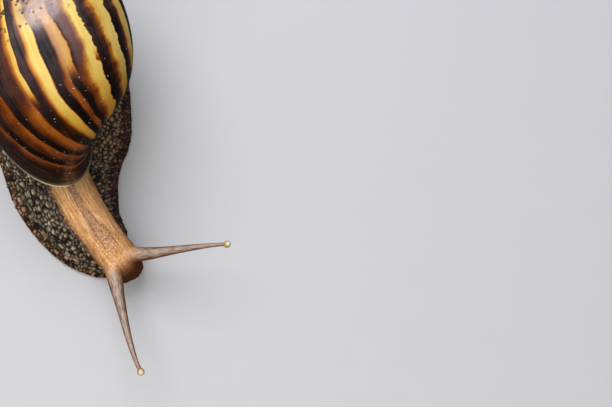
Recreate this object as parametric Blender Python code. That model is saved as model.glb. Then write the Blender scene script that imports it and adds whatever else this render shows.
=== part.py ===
"""Giant African land snail, life size, crawling on a flat floor, as a still model.

The head points towards -Y and turns to +X, the tail points towards +Y, and the
sole lies on z = 0. The shell winds to the right and leans to the animal's right
side. The flesh is modelled as swept bodies that are cut clear of one another by
a thin gap. The design frame's origin is on the floor under the front of the
shell; the last step moves the finished model so that its origin is at the
bottom centre of its box.
"""

import math

import bmesh
import bpy
from mathutils import Matrix, Vector

MM = 0.001
MODEL_NAME = "giant_african_land_snail"

# Driving dimensions, in millimetres and degrees.
GAP = 0.40                      # clearance between neighbouring bodies
SHARPEST = 1.8                  # limit on how far a sharp edge grows in a clearance
SHELL_LENGTH = 78.0
SHELL_BASE = (11.6, 4.5, 19.0)  # front end of the shell's axis
SHELL_HEADING = 24.0            # how far the axis turns from -Y towards +X
SHELL_PITCH = -21.0             # the front end lies lower than the apex
LIP_ANGLE = 103.0               # the lip's place round the axis, from the top
LIP_WALL = 1.0

# The whorl's outline, in shares of the shell's length, measured from the apex.
WHORL_GROWTH = 1.55
WHORL_COUNT = 7
SUTURE_HEIGHT = 0.44
WIDEST_HEIGHT = 0.67
WIDEST_RADIUS = 0.295
SHOULDER_POWER = 2.2            # how full the whorl is between suture and widest part
BASE_RADIUS = 0.12
PILLAR_HEIGHT = 0.79            # where the base folds in to meet the axis
LIP_LEAN = -0.055               # turns by which the lip's base trails its top
LEAN_EASE = 0.1                 # share of the lip's lower part over which the lean sets in
LEAN_START = -0.25              # the turn from which the whorl's edge leans
TIP_HEIGHT = 0.39               # height of the blunt apex, in shares of its whorl
MOUTH_CENTRE = (0.70, 0.19)      # height and radius of the middle of the opening
CORNER_REACH = 0.14             # stretch beside the suture where insets grow
CORNER_EXTRA = 1.8
PILLAR_REACH = 0.08             # stretch beside the axis where insets grow
PILLAR_EXTRA = 2.5

# How finely the shell is faceted.
TURN_STEPS = 30
SHOULDER_STEPS = 5
FLANK_STEPS = 7
PILLAR_STEPS = 3

# Depth of the recess inside the lip, in turns.
RECESS_TURNS = 0.075
RECESS_DEPTHS = (0.0, RECESS_TURNS / 2, RECESS_TURNS)

# Rings of the mantle's collar: turns past the lip, and extra inset from the shell.
MANTLE_RINGS = ((-0.06, 0.0), (-0.03, 0.0), (-0.004, 0.0), (0.011, 0.9), (0.022, 2.6))

# Foot: x, y, half width, height of the back.
FOOT_STATIONS = (
    (-8.0, 90.0, 0.5, 0.9),
    (-6.6, 82.0, 3.4, 2.6),
    (-5.2, 70.0, 7.2, 5.0),
    (-4.2, 54.0, 11.8, 8.5),
    (-3.9, 36.0, 16.2, 12.0),
    (-3.3, 18.0, 17.5, 14.0),
    (-2.7, 7.5, 14.8, 11.5),
    (-0.6, 0.0, 12.7, 8.6),
    (3.4, -7.3, 10.1, 7.2),
    (8.9, -12.7, 7.3, 5.4),
    (12.0, -14.8, 4.6, 3.8),
    (13.6, -16.2, 3.2, 2.8),
    (14.5, -16.9, 1.2, 1.8),
)
FOOT_MARGIN = 1.5               # thickness of the foot's thin edge
THINNEST_MARGIN = 0.6           # share of the foot's height that its edge may take
FOOT_STEPS = 3

# Outline of the foot's thin edge and of its rounded back: share of the half width,
# share of the rise. The sole's points are shares of the half width.
FOOT_EDGE = ((0.96, 0.0), (1.0, 0.45), (0.975, 1.0))
FOOT_SOLE = (-0.5, 0.0, 0.5)
FOOT_BACK = ((0.90, 0.10), (0.76, 0.34), (0.60, 0.58), (0.42, 0.79), (0.22, 0.94), (0.0, 1.0))

# Neck and head: x, y, z, half width, half height.
NECK_STATIONS = (
    (-5.5, 15.0, 13.2, 5.6, 5.4),
    (-1.6, 8.2, 12.2, 5.6, 5.3),
    (0.7, 2.2, 11.2, 5.5, 5.2),
    (3.3, -3.0, 10.2, 5.5, 5.0),
    (6.2, -7.3, 9.4, 5.2, 4.9),
    (9.5, -11.3, 8.9, 4.8, 4.8),
    (12.4, -14.9, 8.3, 4.8, 4.9),
    (14.8, -17.3, 7.4, 4.3, 4.6),
    (16.3, -18.3, 6.3, 3.1, 3.7),
    (17.1, -19.0, 5.8, 1.4, 2.0),
)
NECK_STEPS = 3
NECK_SIDES = 18
HEAD_CUT = (9.9, -12.0, 8.8)    # where the neck ends and the head begins
HEAD_HEADING = (0.74, -0.67, 0.0)

# Feelers: x, y, z, radius, from root to tip.
UPPER_LEFT = (
    (12.8, -14.7, 9.3, 3.0),
    (16.6, -14.9, 11.3, 1.95),
    (20.8, -15.0, 13.2, 1.5),
    (26.5, -14.6, 15.4, 1.02),
    (32.0, -14.2, 17.4, 0.72),
    (36.5, -14.0, 19.0, 0.48),
    (39.0, -14.0, 19.8, 0.42),
)
UPPER_RIGHT = (
    (11.7, -15.4, 8.9, 3.0),
    (12.0, -19.4, 10.9, 2.1),
    (13.1, -23.7, 12.6, 1.6),
    (14.7, -29.2, 14.9, 1.12),
    (16.5, -35.2, 17.2, 0.82),
    (18.6, -41.0, 19.2, 0.56),
    (19.8, -43.4, 20.0, 0.48),
)
LOWER_LEFT = ((15.4, -15.0, 5.4, 1.3), (16.9, -16.0, 3.7, 0.9), (17.5, -16.8, 2.0, 0.6))
LOWER_RIGHT = ((12.7, -17.0, 5.4, 1.3), (13.6, -18.6, 3.7, 0.9), (14.1, -19.5, 2.0, 0.6))
# Lobes of the lips under the snout: x, y, z, then length, width and height.
LIP_LOBES = ((15.9, -16.9, 3.8, 1.7, 1.1, 1.6), (14.9, -18.2, 3.8, 1.7, 1.1, 1.6))
LIP_TURN = -38.0
LOBE_SIDES = 14
LOBE_BANDS = 8
FEELER_STEPS = 2
FEELER_FACETS = 3               # facets in a quarter of the tube, less one
WELD = 0.01
EYE_RADIUS = 0.85
EYE_REACH = 0.55                # how far past the feeler's tip the eye's centre lies
EYE_SIDES = 14
EYE_BANDS = 9

# Trunk that rises from the foot into the shell's opening.
TRUNK_FOOT = (-5.0, 22.0, 3.0)
TRUNK_FOOT_SIZE = (15.0, 24.0)
TRUNK_FLARE = 1.7               # above 1, the trunk spreads towards its foot
TRUNK_INSET = 4.2               # width of the mantle's collar round the trunk, with the lip
TRUNK_DEPTH = 0.03              # turns that the trunk reaches inside the lip
TRUNK_RINGS = 6

# Places on the foot's middle line where it is parted, and the size of the box
# that takes one side of a cut.
FRONT_CUT = ((-1.3, 6.4, 0.0), (0.27, -0.96, 0.0))
TAIL_CUT = ((-4.0, 46.0, 0.0), (0.0, -1.0, 0.0))
SIDE_BOX = 200.0

COLOURS = {
    "shell": ((0.22, 0.09, 0.03), 0.25),
    "ochre_skin": ((0.48, 0.23, 0.07), 0.45),
    "dark_skin": ((0.07, 0.055, 0.04), 0.5),
    "mantle": ((0.40, 0.30, 0.17), 0.4),
    "feeler": ((0.42, 0.29, 0.24), 0.45),
    "eye": ((0.62, 0.42, 0.16), 0.15),
}


def new_material(name):
    """Principled BSDF with one of the animal's plain colours."""
    colour, roughness = COLOURS[name]
    material = bpy.data.materials.get(name) or bpy.data.materials.new(name)
    material.use_nodes = True
    shader = material.node_tree.nodes["Principled BSDF"]
    shader.inputs["Base Color"].default_value = (*colour, 1.0)
    shader.inputs["Roughness"].default_value = roughness
    material.diffuse_color = (*colour, 1.0)
    return material


def new_collection(name):
    collection = bpy.data.collections.new(name)
    bpy.context.scene.collection.children.link(collection)
    return collection


def smooth_rows(stations, steps):
    """Rows of numbers on a smooth curve through the stations."""
    rows = [Vector(row) for row in stations]
    rows = [2 * rows[0] - rows[1], *rows, 2 * rows[-1] - rows[-2]]
    result = []
    for a, b, c, d in zip(rows, rows[1:], rows[2:], rows[3:]):
        for step in range(steps):
            t = step / steps
            result.append(0.5 * (2 * b + (c - a) * t + (2 * a - 5 * b + 4 * c - d) * t**2
                                 + (3 * b - a - 3 * c + d) * t**3))
    result.append(rows[-2])
    return result


def add_object(name, mesh, material, collection):
    obj = bpy.data.objects.new(name, mesh)
    mesh.materials.clear()
    mesh.materials.append(material)
    collection.objects.link(obj)
    return obj


def finish_mesh(name, bm):
    """Close the bmesh into a smooth-shaded mesh, with its size in metres."""
    bmesh.ops.recalc_face_normals(bm, faces=bm.faces)
    bmesh.ops.scale(bm, vec=(MM, MM, MM), verts=bm.verts)
    mesh = bpy.data.meshes.new(name)
    bm.to_mesh(mesh)
    bm.free()
    mesh.shade_smooth()
    return mesh


def fan(bm, rim, centre):
    """Triangles from a closed rim to a point."""
    hub = bm.verts.new(centre)
    for vert, after in zip(rim, rim[1:] + rim[:1]):
        bm.faces.new((vert, after, hub))


def loft(name, rings, material, collection, hubs=(None, None)):
    """Closed body through rings of equal point counts, with a fan at each end."""
    bm = bmesh.new()
    rows = [[bm.verts.new(point) for point in ring] for ring in rings]
    for row, after in zip(rows, rows[1:]):
        for i in range(len(row)):
            j = (i + 1) % len(row)
            bm.faces.new((row[i], row[j], after[j], after[i]))
    for row, centre in zip((rows[0], rows[-1]), hubs):
        fan(bm, row, centre or sum((vert.co for vert in row), Vector()) / len(row))
    return add_object(name, finish_mesh(name, bm), material, collection)


def bake(obj):
    """Put the object's evaluated mesh in its place and drop its modifiers."""
    graph = bpy.context.evaluated_depsgraph_get()
    mesh = bpy.data.meshes.new_from_object(obj.evaluated_get(graph))
    obj.modifiers.clear()
    obj.data = mesh


def combine(obj, other, operation, solver="EXACT"):
    """Boolean of the object with another one, which stays as it is."""
    modifier = obj.modifiers.new(operation.lower(), "BOOLEAN")
    modifier.operation = operation
    modifier.solver = solver
    modifier.object = other
    bake(obj)


def swollen(obj, distance, cutters):
    """Copy of an object, grown by a distance, to cut its neighbours clear of it."""
    bm = bmesh.new()
    bm.from_mesh(obj.data)
    bmesh.ops.triangulate(bm, faces=bm.faces)
    bm.normal_update()
    moves = [vert.normal * distance * MM * min(vert.calc_shell_factor(), SHARPEST)
             for vert in bm.verts]
    for vert, move in zip(bm.verts, moves):
        vert.co += move
    mesh = bpy.data.meshes.new(obj.name + "_clearance")
    bm.to_mesh(mesh)
    bm.free()
    return add_object(mesh.name, mesh, obj.data.materials[0], cutters)


def hide_helper(obj):
    obj.hide_render = True
    obj.display_type = "WIRE"


# Shell -----------------------------------------------------------------------

def flank_radius(height):
    """Radius of a whorl below its widest part."""
    drop = (height - WIDEST_HEIGHT) / (1 - WIDEST_HEIGHT)
    return BASE_RADIUS + (WIDEST_RADIUS - BASE_RADIUS) * math.sqrt(1 - drop**2)


NEXT_SUTURE = WHORL_GROWTH * SUTURE_HEIGHT
SUTURE_RADIUS = flank_radius(NEXT_SUTURE) / WHORL_GROWTH


def lean(height, turn):
    """Turns by which a point on the whorl's edge trails the suture."""
    start = min(max(1 - turn / LEAN_START, 0), 1)
    drop = max(height - NEXT_SUTURE, 0) / (1 - NEXT_SUTURE)
    eased = drop * drop * (1 + LEAN_EASE) / (drop + LEAN_EASE)
    return LIP_LEAN * eased * start * start * (3 - 2 * start)


def whorl_outline(growth):
    """Height and radius of each point on a whorl, suture to axis."""
    points = []
    for step in range(SHOULDER_STEPS):
        angle = math.pi / 2 * step / SHOULDER_STEPS
        height = WIDEST_HEIGHT - (WIDEST_HEIGHT - SUTURE_HEIGHT) * math.cos(angle)
        narrowing = (WIDEST_RADIUS - SUTURE_RADIUS) * math.cos(angle)**SHOULDER_POWER
        radius = WIDEST_RADIUS - narrowing
        points.append((height, radius))
    first = math.asin((NEXT_SUTURE - WIDEST_HEIGHT) / (1 - WIDEST_HEIGHT))
    for step in range(FLANK_STEPS + 1):
        angle = first + (math.pi / 2 - first) * step / FLANK_STEPS
        height = WIDEST_HEIGHT + (1 - WIDEST_HEIGHT) * math.sin(angle)
        radius = BASE_RADIUS + (WIDEST_RADIUS - BASE_RADIUS) * math.cos(angle)
        points.append((height, radius))
    fold = PILLAR_HEIGHT / growth
    for step in range(1, PILLAR_STEPS + 1):
        angle = math.pi / 2 * step / PILLAR_STEPS
        height = fold + (1 - fold) * math.cos(angle)
        points.append((height, BASE_RADIUS * (1 - math.sin(angle))))
    return points


def section(turn):
    """A whorl's outline at its real size: height, radius and angle, in millimetres."""
    growth = WHORL_GROWTH**turn
    size = growth * SHELL_LENGTH
    return [(height * size, radius * size, 2 * math.pi * (turn + lean(height, turn)))
            for height, radius in whorl_outline(growth)]


def mouth_ring(turn, inset):
    """Ring round the whorl's inside, drawn in towards the middle of the opening."""
    outer = section(turn)
    inner = section(turn - 1)
    size = WHORL_GROWTH**turn * SHELL_LENGTH
    middle_height, middle_radius = (share * size for share in MOUTH_CENTRE)
    wall = [(h, r, a + 2 * math.pi) for h, r, a in inner[SHOULDER_STEPS + 1:-1]]
    ring = []
    for height, radius, angle in outer + wall[::-1]:
        towards = Vector((middle_height - height, middle_radius - radius)).normalized()
        nearness = max(0, 1 - (height / size - SUTURE_HEIGHT) / CORNER_REACH)
        closeness = max(0, 1 - radius / size / PILLAR_REACH)
        towards *= inset + CORNER_EXTRA * nearness + PILLAR_EXTRA * closeness
        ring.append(shell_point(height + towards.x, radius + towards.y, angle))
    return ring


def mouth_hub(turn):
    """Middle of the whorl's inside at a turn."""
    size = WHORL_GROWTH**turn * SHELL_LENGTH
    return shell_point(MOUTH_CENTRE[0] * size, MOUTH_CENTRE[1] * size,
                       2 * math.pi * (turn + lean(MOUTH_CENTRE[0], turn)))


def shell_axes():
    """Unit vectors: towards the lip, across it, and along the axis to the front."""
    heading, pitch = math.radians(SHELL_HEADING), math.radians(SHELL_PITCH)
    along = Vector((math.sin(heading) * math.cos(pitch), -math.cos(heading) * math.cos(pitch),
                    math.sin(pitch)))
    top = (Vector((0, 0, 1)) - along * along.z).normalized()
    side = along.cross(top)
    lip = math.radians(LIP_ANGLE)
    towards_lip = top * math.cos(lip) + side * math.sin(lip)
    return towards_lip, along.cross(towards_lip), along


AXES = shell_axes()
APEX = Vector(SHELL_BASE) - AXES[2] * SHELL_LENGTH


def shell_point(height, radius, angle):
    """Place on the model of a point given round the shell's axis."""
    across = AXES[0] * math.cos(angle) + AXES[1] * math.sin(angle)
    return APEX + AXES[2] * height + across * radius


def make_shell(name, material, collection):
    """Spiral shell: each whorl runs from its own suture to the next one's."""
    bm = bmesh.new()
    last = WHORL_COUNT * TURN_STEPS
    pillar = bm.verts.new(shell_point(PILLAR_HEIGHT * SHELL_LENGTH, 0, 0))
    rows = []
    for step in range(last + 1):
        turn = (step - last) / TURN_STEPS
        points = section(turn)[:-1]
        if step < last - TURN_STEPS:
            points = points[:SHOULDER_STEPS]
        rows.append([bm.verts.new(shell_point(*point)) for point in points])
    for row, later in zip(rows, rows[TURN_STEPS:-1]):
        row.append(later[0])
    corner = rows[last - TURN_STEPS]
    bm.verts.remove(corner[SHOULDER_STEPS])
    corner[SHOULDER_STEPS] = rows[last][0]
    for row in rows[last - TURN_STEPS:]:
        row.append(pillar)
    for row, after in zip(rows, rows[1:]):
        for i in range(min(len(row), len(after)) - 1):
            corners = (row[i], after[i], after[i + 1], row[i + 1])
            bm.faces.new(corners[:3] if row[i + 1] is after[i + 1] else corners)
    close_apex(bm, rows)
    recess_mouth(bm, rows)
    return add_object(name, finish_mesh(name, bm), material, collection)


def close_apex(bm, rows):
    """Blunt tip over the first turn."""
    rim = [row[0] for row in rows[:TURN_STEPS + 1]] + rows[0][:0:-1][1:]
    size = WHORL_GROWTH**-WHORL_COUNT * SHELL_LENGTH
    fan(bm, rim, shell_point(TIP_HEIGHT * size, 0, 0))


def recess_mouth(bm, rows):
    """Lip with its thickness, and the hollow inside it that holds the mantle."""
    lip = rows[-1] + rows[-1 - TURN_STEPS][:SHOULDER_STEPS:-1][1:]
    rings = [lip]
    for depth in RECESS_DEPTHS:
        rings.append([bm.verts.new(point) for point in mouth_ring(-depth, LIP_WALL)])
    for ring, after in zip(rings, rings[1:]):
        for i in range(len(ring)):
            j = (i + 1) % len(ring)
            bm.faces.new((ring[i], ring[j], after[j], after[i]))
    fan(bm, rings[-1], mouth_hub(-RECESS_TURNS))


# Flesh -----------------------------------------------------------------------

def across(points, index):
    """Level unit vector to the left of a path at one of its points."""
    before = points[max(index - 1, 0)]
    after = points[min(index + 1, len(points) - 1)]
    along = Vector((after[0] - before[0], after[1] - before[1], 0)).normalized()
    return Vector((-along.y, along.x, 0))


def make_foot(name, material, collection):
    """Flat sole with a thin edge and a rounded back."""
    rows = smooth_rows(FOOT_STATIONS, FOOT_STEPS)
    rings = []
    for index, (x, y, half_width, height) in enumerate(rows):
        side = across(rows, index)
        middle = Vector((x, y, 0))
        margin = min(FOOT_MARGIN, height * THINNEST_MARGIN)
        outline = [(share, margin * rise) for share, rise in FOOT_EDGE]
        outline += [(share, margin + (height - margin) * rise) for share, rise in FOOT_BACK]
        mirrored = [(-share, z) for share, z in outline[-2::-1]]
        sole = [(share, 0.0) for share in FOOT_SOLE]
        rings.append([middle + side * (share * half_width) + Vector((0, 0, z))
                      for share, z in outline + mirrored + sole])
    return loft(name, rings, material, collection)


def make_trunk(name, material, collection):
    """Column of flesh that rises from the foot into the shell's opening."""
    top = mouth_ring(MANTLE_RINGS[-1][0], TRUNK_INSET)
    middle = sum(top, Vector()) / len(top)
    half_width, half_length = TRUNK_FOOT_SIZE
    base = []
    for point in top:
        outwards = (point - middle).xy.normalized()
        base.append(Vector(TRUNK_FOOT)
                    + Vector((half_width * outwards.x, half_length * outwards.y, 0)))
    rings = []
    for step in range(TRUNK_RINGS):
        rise = step / (TRUNK_RINGS - 1)
        spread = 1 - (1 - rise)**TRUNK_FLARE
        ring = []
        for low, high in zip(base, top):
            place = low.lerp(high, spread)
            place.z = low.z + (high.z - low.z) * rise
            ring.append(place)
        rings.append(ring)
    rings.append(mouth_ring(-TRUNK_DEPTH, TRUNK_INSET))
    return loft(name, rings, material, collection, hubs=(None, mouth_hub(-TRUNK_DEPTH)))


def make_mantle(name, material, collection):
    """Fleshy collar that fills the recess and swells a little past the lip."""
    rings = [mouth_ring(turn, LIP_WALL + 2 * GAP + extra) for turn, extra in MANTLE_RINGS]
    hubs = (mouth_hub(MANTLE_RINGS[0][0]), mouth_hub(MANTLE_RINGS[-1][0]))
    return loft(name, rings, material, collection, hubs)


def make_neck(name, material, collection):
    """Neck, head and snout as one body of oval sections."""
    rows = smooth_rows(NECK_STATIONS, NECK_STEPS)
    rings = []
    for index, (x, y, z, half_width, half_height) in enumerate(rows):
        side = across(rows, index)
        rings.append([Vector((x, y, z)) + side * (half_width * math.cos(angle))
                      + Vector((0, 0, half_height * math.sin(angle)))
                      for angle in (2 * math.pi * i / NECK_SIDES for i in range(NECK_SIDES))])
    return loft(name, rings, material, collection)


def make_lip_lobe(name, lobe, material, collection):
    """Rounded fold beside the mouth."""
    bm = bmesh.new()
    bmesh.ops.create_uvsphere(bm, u_segments=LOBE_SIDES, v_segments=LOBE_BANDS, radius=1.0)
    bmesh.ops.scale(bm, vec=lobe[3:], verts=bm.verts)
    turn = Matrix.Rotation(math.radians(LIP_TURN), 3, "Z")
    bmesh.ops.rotate(bm, cent=(0, 0, 0), matrix=turn, verts=bm.verts)
    bmesh.ops.translate(bm, vec=lobe[:3], verts=bm.verts)
    return add_object(name, finish_mesh(name, bm), material, collection)


def make_feeler(name, stations, material, collection):
    """Tapering tube with a round section, welded shut at its ends."""
    curve = bpy.data.curves.new(name, "CURVE")
    curve.dimensions = "3D"
    curve.bevel_depth = MM
    curve.bevel_resolution = FEELER_FACETS
    curve.use_fill_caps = True
    rows = smooth_rows(stations, FEELER_STEPS)
    spline = curve.splines.new("POLY")
    spline.points.add(len(rows) - 1)
    for point, (x, y, z, radius) in zip(spline.points, rows):
        point.co = (x * MM, y * MM, z * MM, 1.0)
        point.radius = radius
    source = bpy.data.objects.new(name + "_curve", curve)
    collection.objects.link(source)
    graph = bpy.context.evaluated_depsgraph_get()
    mesh = bpy.data.meshes.new_from_object(source.evaluated_get(graph))
    bpy.data.objects.remove(source)
    bm = bmesh.new()
    bm.from_mesh(mesh)
    bmesh.ops.remove_doubles(bm, verts=bm.verts, dist=WELD * MM)
    bmesh.ops.recalc_face_normals(bm, faces=bm.faces)
    bm.to_mesh(mesh)
    bm.free()
    mesh.shade_smooth()
    return add_object(name, mesh, material, collection)


def make_eye(name, stations, material, collection):
    """Round bulb on a feeler's tip."""
    root, tip = (Vector(row[:3]) for row in stations[-2:])
    centre = tip + (tip - root).normalized() * EYE_REACH
    bm = bmesh.new()
    bmesh.ops.create_uvsphere(bm, u_segments=EYE_SIDES, v_segments=EYE_BANDS,
                              radius=EYE_RADIUS)
    bmesh.ops.translate(bm, vec=centre, verts=bm.verts)
    return add_object(name, finish_mesh(name, bm), material, collection)


def keep_side(obj, cut, name, collection, front):
    """Copy of the part of an object that lies on one side of an upright cut."""
    place, heading = Vector(cut[0]), Vector(cut[1]).normalized()
    sense = 1 if front else -1
    bm = bmesh.new()
    bmesh.ops.create_cube(bm, size=SIDE_BOX)
    box = add_object(name + "_side", finish_mesh(name + "_side", bm), obj.data.materials[0],
                     collection)
    box.rotation_euler = (0, 0, math.atan2(heading.y, heading.x))
    box.location = (place + heading * sense * (SIDE_BOX + GAP) / 2) * MM
    piece = bpy.data.objects.new(name, obj.data.copy())
    collection.objects.link(piece)
    bpy.context.view_layer.update()
    combine(piece, box, "INTERSECT")
    bpy.data.objects.remove(box)
    return piece


def make_model():
    for obj in list(bpy.data.objects):
        bpy.data.objects.remove(obj, do_unlink=True)
    parts = new_collection(MODEL_NAME)
    cutters = new_collection("cutters")
    skin = {name: new_material(name) for name in COLOURS}

    shell = make_shell("shell", skin["shell"], parts)
    shell_space = swollen(shell, GAP, cutters)

    body = make_foot("body", skin["dark_skin"], cutters)
    trunk = make_trunk("trunk", skin["dark_skin"], cutters)
    combine(body, trunk, "UNION")
    combine(body, shell_space, "DIFFERENCE")
    bpy.data.objects.remove(trunk)
    body_space = swollen(body, GAP, cutters)

    mantle = make_mantle("mantle", skin["mantle"], parts)
    combine(mantle, body_space, "DIFFERENCE", "MANIFOLD")
    mantle_space = swollen(mantle, GAP, cutters)

    neck = make_neck("neck_and_head", skin["ochre_skin"], cutters)
    for lobe in LIP_LOBES:
        fold = make_lip_lobe("lip_lobe", lobe, skin["ochre_skin"], cutters)
        combine(neck, fold, "UNION")
        bpy.data.objects.remove(fold)
    for space in (body_space, shell_space, mantle_space):
        combine(neck, space, "DIFFERENCE", "MANIFOLD")
    head_cut = (HEAD_CUT, HEAD_HEADING)
    head = keep_side(neck, head_cut, "head", parts, front=True)
    keep_side(neck, head_cut, "neck", parts, front=False)
    head_space = swollen(head, GAP, cutters)

    feelers = {
        "tentacle_upper_left": UPPER_LEFT,
        "tentacle_upper_right": UPPER_RIGHT,
        "tentacle_lower_left": LOWER_LEFT,
        "tentacle_lower_right": LOWER_RIGHT,
    }
    for name, stations in feelers.items():
        feeler = make_feeler(name, stations, skin["feeler"], parts)
        for space in (head_space, body_space):
            combine(feeler, space, "DIFFERENCE", "MANIFOLD")
        if "upper" in name:
            eye = make_eye(name.replace("tentacle_upper", "eye"), stations, skin["eye"], parts)
            combine(feeler, swollen(eye, GAP, cutters), "DIFFERENCE")

    middle = keep_side(body, FRONT_CUT, "foot_middle", parts, front=False)
    keep_side(body, FRONT_CUT, "foot_front", parts, front=True)
    keep_side(middle, TAIL_CUT, "tail", parts, front=False)
    keep_side(middle, TAIL_CUT, "foot_middle_length", parts, front=True)
    bpy.data.objects.remove(middle)
    parts.objects["foot_middle_length"].name = "foot_middle"

    for obj in cutters.objects:
        hide_helper(obj)
    return parts


def centre_on_floor(parts):
    """Move the model so that its origin is at the bottom centre of its box."""
    corners = [obj.matrix_world @ vert.co for obj in parts.objects for vert in obj.data.vertices]
    low = Vector([min(corner[axis] for corner in corners) for axis in range(3)])
    high = Vector([max(corner[axis] for corner in corners) for axis in range(3)])
    shift = Vector((-(low.x + high.x) / 2, -(low.y + high.y) / 2, -low.z))
    for obj in parts.objects:
        obj.location += shift


centre_on_floor(make_model())
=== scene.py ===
"""Looks of a life-size giant African land snail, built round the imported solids.

Lengths are in millimetres in the solids' design frame, whose origin is on the floor
under the front of the shell. The head points towards -Y and turns to +X, the tail
points towards +Y, and the sole lies on z = 0. A finished mesh is moved into the
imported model's frame and scaled to metres in one step, by to_row_frame.
"""

import math

import bmesh
import bpy
import numpy as np
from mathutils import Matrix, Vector, noise


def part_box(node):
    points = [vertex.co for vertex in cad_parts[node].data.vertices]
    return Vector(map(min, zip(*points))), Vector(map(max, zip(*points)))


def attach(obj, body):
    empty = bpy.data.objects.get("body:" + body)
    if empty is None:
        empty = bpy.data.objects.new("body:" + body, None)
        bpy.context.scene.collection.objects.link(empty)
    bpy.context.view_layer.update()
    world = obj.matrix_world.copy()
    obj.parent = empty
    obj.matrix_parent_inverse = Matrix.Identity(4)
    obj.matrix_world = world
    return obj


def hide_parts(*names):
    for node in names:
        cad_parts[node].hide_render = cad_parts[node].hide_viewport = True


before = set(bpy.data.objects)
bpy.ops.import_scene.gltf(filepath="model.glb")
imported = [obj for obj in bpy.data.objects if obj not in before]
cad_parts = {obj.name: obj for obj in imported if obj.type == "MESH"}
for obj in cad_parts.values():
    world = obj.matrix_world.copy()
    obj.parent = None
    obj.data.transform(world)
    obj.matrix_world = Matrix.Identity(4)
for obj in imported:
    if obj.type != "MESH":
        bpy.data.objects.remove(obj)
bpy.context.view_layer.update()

MM = 0.001
BODY = "root"
UP = (0, 0, 1)

# Shell: the same spiral as the solid one, in the same numbers.
SHELL_LENGTH = 78.0
SHELL_BASE = (11.6, 4.5, 19.0)
SHELL_HEADING = 24.0
SHELL_PITCH = -21.0
LIP_ANGLE = 103.0
WHORL_GROWTH = 1.55
WHORL_COUNT = 7
SUTURE_HEIGHT = 0.44
WIDEST_HEIGHT = 0.67
WIDEST_RADIUS = 0.295
SHOULDER_POWER = 2.2
BASE_RADIUS = 0.12
PILLAR_HEIGHT = 0.79
LIP_LEAN = -0.055
LEAN_EASE = 0.1
LEAN_START = -0.25
TIP_HEIGHT = 0.39
MOUTH_CENTRE = (0.70, 0.19)
CORNER_REACH = 0.14
CORNER_EXTRA = 1.8
PILLAR_REACH = 0.08
PILLAR_EXTRA = 2.5

# How finely the shell is meshed.
TURN_STEPS = 320
SHOULDER_STEPS = 18
FLANK_STEPS = 40
PILLAR_STEPS = 12
LAST_STEP = WHORL_COUNT * TURN_STEPS
BODY_START = LAST_STEP - TURN_STEPS

# Rings round the thin lip and into the mouth: turns past the lip, and share of the wall.
LIP_WALL = 0.65
PILLAR_WALL_SHARE = 0.3
LIP_RINGS = ((0.0012, 0.22), (0.0016, 0.5), (0.0010, 0.8), (-0.001, 1.0), (-0.01, 1.05),
             (-0.03, 1.1), (-0.06, 1.15), (-0.09, 1.2))

# Growth ridges: their height, and steps of noise in a turn and across a whorl.
RIDGE_HEIGHT = 0.07
FINE_RIDGES = 130
BROAD_RIDGES = 47
BROAD_SHARE = 0.6
DRIFT_STEPS = (90, 2.5)
DRIFT_SHARE = 0.5
RIDGES_END = 2.4
SMOOTH_MOUTH = (4, 9)

# Flesh: the same stations as the solids. The foot's are x, y, half width and height.
FOOT_STATIONS = (
    (-8.0, 90.0, 0.5, 0.9),
    (-6.6, 82.0, 3.4, 2.6),
    (-5.2, 70.0, 7.2, 5.0),
    (-4.2, 54.0, 11.8, 8.5),
    (-3.9, 36.0, 16.2, 12.0),
    (-3.3, 18.0, 17.5, 14.0),
    (-2.7, 7.5, 14.8, 11.5),
    (-0.6, 0.0, 12.7, 8.6),
    (3.4, -7.3, 10.1, 7.2),
    (8.9, -12.7, 7.3, 5.4),
    (12.0, -14.8, 4.6, 3.8),
    (13.6, -16.2, 3.2, 2.8),
    (14.5, -16.9, 1.2, 1.8),
)
FOOT_MARGIN = 1.5
THINNEST_MARGIN = 0.6
FOOT_OUTLINE = ((0.96, 0.0), (1.0, 0.45), (0.975, 1.0))
FOOT_BACK = ((0.90, 0.10), (0.76, 0.34), (0.60, 0.58), (0.42, 0.79), (0.22, 0.94), (0.0, 1.0))
FOOT_STEPS = 10
BACK_STEPS = 4

# The neck's middle line, half width and half height.
NECK_STATIONS = (
    (-5.5, 15.0, 13.2, 5.6, 5.4),
    (-1.6, 8.2, 12.2, 5.6, 5.3),
    (0.7, 2.2, 11.2, 5.5, 5.2),
    (3.3, -3.0, 10.2, 5.5, 5.0),
    (6.2, -7.3, 9.4, 5.2, 4.9),
    (9.5, -11.3, 8.9, 4.8, 4.8),
    (12.4, -14.9, 8.3, 4.8, 4.9),
    (14.8, -17.3, 7.4, 4.3, 4.6),
    (16.3, -18.3, 6.3, 3.1, 3.7),
    (17.1, -19.0, 5.8, 1.4, 2.0),
)
NECK_STEPS = 8
NECK_SIDES = 48

# Each feeler's middle line and radius.
UPPER_LEFT = (
    (12.8, -14.7, 9.3, 3.0),
    (16.6, -14.9, 11.3, 1.95),
    (20.8, -15.0, 13.2, 1.5),
    (26.5, -14.6, 15.4, 1.02),
    (32.0, -14.2, 17.4, 0.72),
    (36.5, -14.0, 19.0, 0.48),
    (39.0, -14.0, 19.8, 0.42),
)
UPPER_RIGHT = (
    (11.7, -15.4, 8.9, 3.0),
    (12.0, -19.4, 10.9, 2.1),
    (13.1, -23.7, 12.6, 1.6),
    (14.7, -29.2, 14.9, 1.12),
    (16.5, -35.2, 17.2, 0.82),
    (18.6, -41.0, 19.2, 0.56),
    (19.8, -43.4, 20.0, 0.48),
)
LOWER_LEFT = ((15.4, -15.0, 5.4, 1.3), (16.9, -16.0, 3.7, 0.9), (17.5, -16.8, 2.0, 0.6))
LOWER_RIGHT = ((12.7, -17.0, 5.4, 1.3), (13.6, -18.6, 3.7, 0.9), (14.1, -19.5, 2.0, 0.6))
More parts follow.
